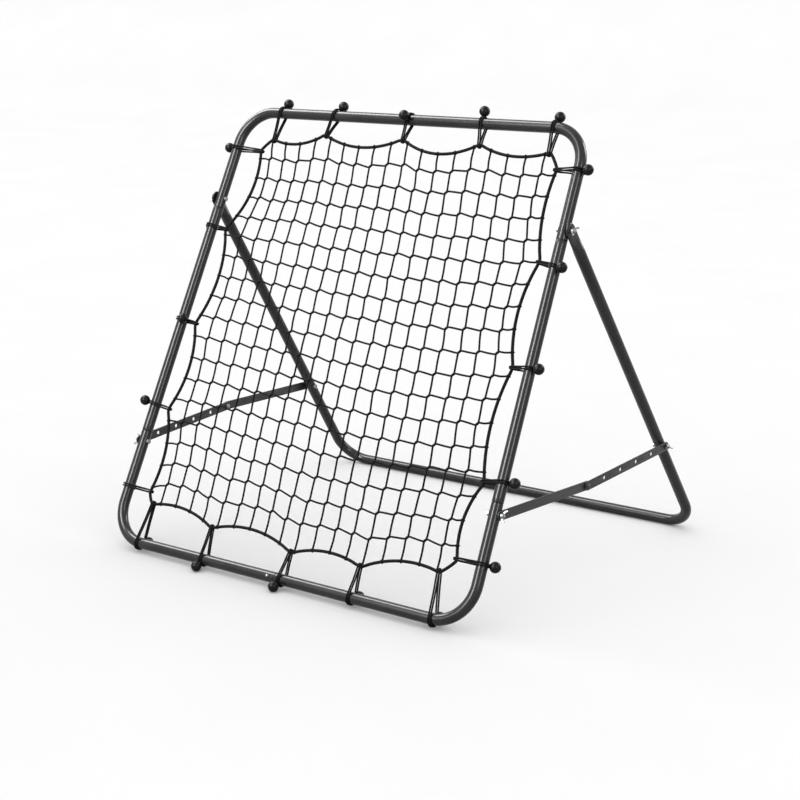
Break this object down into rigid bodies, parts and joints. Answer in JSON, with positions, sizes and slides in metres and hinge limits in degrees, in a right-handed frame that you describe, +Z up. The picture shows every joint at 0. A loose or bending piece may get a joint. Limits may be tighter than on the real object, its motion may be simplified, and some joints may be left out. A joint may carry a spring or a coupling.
{
  "type": "pitch back rebounder",
  "caption": "Leaning tube frame with a square-mesh net stretched by ball bungees, propped by a hinged rear U with perforated folding straps.",
  "frame": {"origin": "on the ground at the middle of the outline seen from above", "axes": "+Z up, -Y towards the player (the net side), +X to the right as seen from behind the player"},
  "size_m": [1.098, 0.9651, 1.0144],
  "materials": {
    "powder_coat": "semi-gloss dark grey powder coat",
    "strap_steel": "satin dark grey coat on flat bar",
    "zinc": "bright zinc plate",
    "net_twine": "black knotted twine",
    "bungee_ball": "black moulded ball",
    "bungee_cord": "black braided elastic"
  },
  "bodies": {
    "front_frame": {"side_tube_left": "powder_coat", "top_corner_tube_left": "powder_coat", "bottom_corner_tube_left": "powder_coat", "side_tube_right": "powder_coat", "top_corner_tube_right": "powder_coat", "bottom_corner_tube_right": "powder_coat", "pivot_bolt_left": "zinc", "front_strap_bolt_left": "zinc", "pivot_bolt_right": "zinc", "front_strap_bolt_right": "zinc", "net_border_rope": "net_twine", "net": "net_twine", "top_bungee_1": "bungee_ball", "top_bungee_2": "bungee_ball", "top_bungee_3": "bungee_ball", "top_bungee_4": "bungee_ball", "top_bungee_5": "bungee_ball", "right_bungee_1": "bungee_ball", "right_bungee_2": "bungee_ball", "right_bungee_3": "bungee_ball", "right_bungee_4": "bungee_ball", "right_bungee_5": "bungee_ball", "bottom_bungee_1": "bungee_ball", "bottom_bungee_2": "bungee_ball", "bottom_bungee_3": "bungee_ball", "bottom_bungee_4": "bungee_ball", "bottom_bungee_5": "bungee_ball", "left_bungee_1": "bungee_ball", "left_bungee_2": "bungee_ball", "left_bungee_3": "bungee_ball", "left_bungee_4": "bungee_ball", "left_bungee_5": "bungee_ball"},
    "rear_frame": {"leg_tube_left": "powder_coat", "rear_corner_tube_left": "powder_coat", "leg_tube_right": "powder_coat", "rear_corner_tube_right": "powder_coat", "rear_strap_bolt_left": "zinc", "rear_strap_bolt_right": "zinc"},
    "left_front_strap_bar": {"left_front_strap": "strap_steel", "strap_joint_nut_left": "zinc"},
    "left_rear_strap_bar": {"left_rear_strap": "strap_steel", "strap_joint_bolt_left": "zinc"},
    "right_front_strap_bar": {"right_front_strap": "strap_steel", "strap_joint_nut_right": "zinc"},
    "right_rear_strap_bar": {"right_rear_strap": "strap_steel", "strap_joint_bolt_right": "zinc"},
    "pivot_wing_nut_left_body": {"pivot_wing_nut_left": "zinc"},
    "pivot_wing_nut_right_body": {"pivot_wing_nut_right": "zinc"},
    "front_strap_wing_nut_left_body": {"front_strap_wing_nut_left": "zinc"},
    "front_strap_wing_nut_right_body": {"front_strap_wing_nut_right": "zinc"},
    "rear_strap_wing_nut_left_body": {"rear_strap_wing_nut_left": "zinc"},
    "rear_strap_wing_nut_right_body": {"rear_strap_wing_nut_right": "zinc"},
    "top_button": {"top_snap_button": "zinc"},
    "bottom_button": {"bottom_snap_button": "zinc"},
    "rear_button": {"rear_snap_button": "zinc"}
  },
  "joints": [
    {"name": "rear_frame_fold", "type": "hinge", "parent": "front_frame", "child": "rear_frame", "pos_m": [0, -0.06979, 0.77521], "axis": [1, 0, 0], "range_deg": [-27, 0]},
    {"name": "left_front_strap_hinge", "type": "hinge", "parent": "front_frame", "child": "left_front_strap_bar", "pos_m": [0, -0.34049, 0.2299], "axis": [1, 0, 0], "range_deg": [0, 36.76]},
    {"name": "left_rear_strap_hinge", "type": "hinge", "parent": "rear_frame", "child": "left_rear_strap_bar", "pos_m": [0, 0.3084, 0.24043], "axis": [1, 0, 0], "range_deg": [-40.02, 0]},
    {"name": "right_front_strap_hinge", "type": "hinge", "parent": "front_frame", "child": "right_front_strap_bar", "pos_m": [0, -0.34049, 0.2299], "axis": [1, 0, 0], "range_deg": [-70.11, 0]},
    {"name": "right_rear_strap_hinge", "type": "hinge", "parent": "rear_frame", "child": "right_rear_strap_bar", "pos_m": [0, 0.3084, 0.24043], "axis": [1, 0, 0], "range_deg": [0, 60.67]},
    {"name": "pivot_wing_nut_left_turn", "type": "hinge", "parent": "front_frame", "child": "pivot_wing_nut_left_body", "pos_m": [-0.47868, -0.06979, 0.77521], "axis": [1, 0, 0], "continuous": true},
    {"name": "front_strap_wing_nut_left_turn", "type": "hinge", "parent": "front_frame", "child": "front_strap_wing_nut_left_body", "pos_m": [-0.52, -0.34049, 0.2299], "axis": [1, 0, 0], "continuous": true},
    {"name": "rear_strap_wing_nut_left_turn", "type": "hinge", "parent": "rear_frame", "child": "rear_strap_wing_nut_left_body", "pos_m": [-0.545, 0.3084, 0.24043], "axis": [1, 0, 0], "continuous": true},
    {"name": "pivot_wing_nut_right_turn", "type": "hinge", "parent": "front_frame", "child": "pivot_wing_nut_right_body", "pos_m": [0.47868, -0.06979, 0.77521], "axis": [1, 0, 0], "continuous": true},
    {"name": "front_strap_wing_nut_right_turn", "type": "hinge", "parent": "front_frame", "child": "front_strap_wing_nut_right_body", "pos_m": [0.52, -0.34049, 0.2299], "axis": [1, 0, 0], "continuous": true},
    {"name": "rear_strap_wing_nut_right_turn", "type": "hinge", "parent": "rear_frame", "child": "rear_strap_wing_nut_right_body", "pos_m": [0.545, 0.3084, 0.24043], "axis": [1, 0, 0], "continuous": true},
    {"name": "bottom_button_press", "type": "slide", "parent": "front_frame", "child": "bottom_button", "axis": [0, 0.8957, -0.4446], "range_m": [0, 0.004], "stiffness_N_per_m": 1500, "springref_m": -0.002},
    {"name": "top_button_press", "type": "slide", "parent": "front_frame", "child": "top_button", "axis": [0, -0.8957, 0.4446], "range_m": [0, 0.004], "stiffness_N_per_m": 1500, "springref_m": -0.002},
    {"name": "rear_button_press", "type": "slide", "parent": "rear_frame", "child": "rear_button", "axis": [0, -0.8165, -0.5774], "range_m": [0, 0.004], "stiffness_N_per_m": 1500, "springref_m": -0.002}
  ],
  "couplings": [
    {"joint": "left_front_strap_hinge", "follows": "rear_frame_fold", "ratio": -1.3595},
    {"joint": "left_rear_strap_hinge", "follows": "rear_frame_fold", "ratio": 1.4804},
    {"joint": "right_front_strap_hinge", "follows": "rear_frame_fold", "ratio": 2.5947},
    {"joint": "right_rear_strap_hinge", "follows": "rear_frame_fold", "ratio": -2.2452}
  ]
}
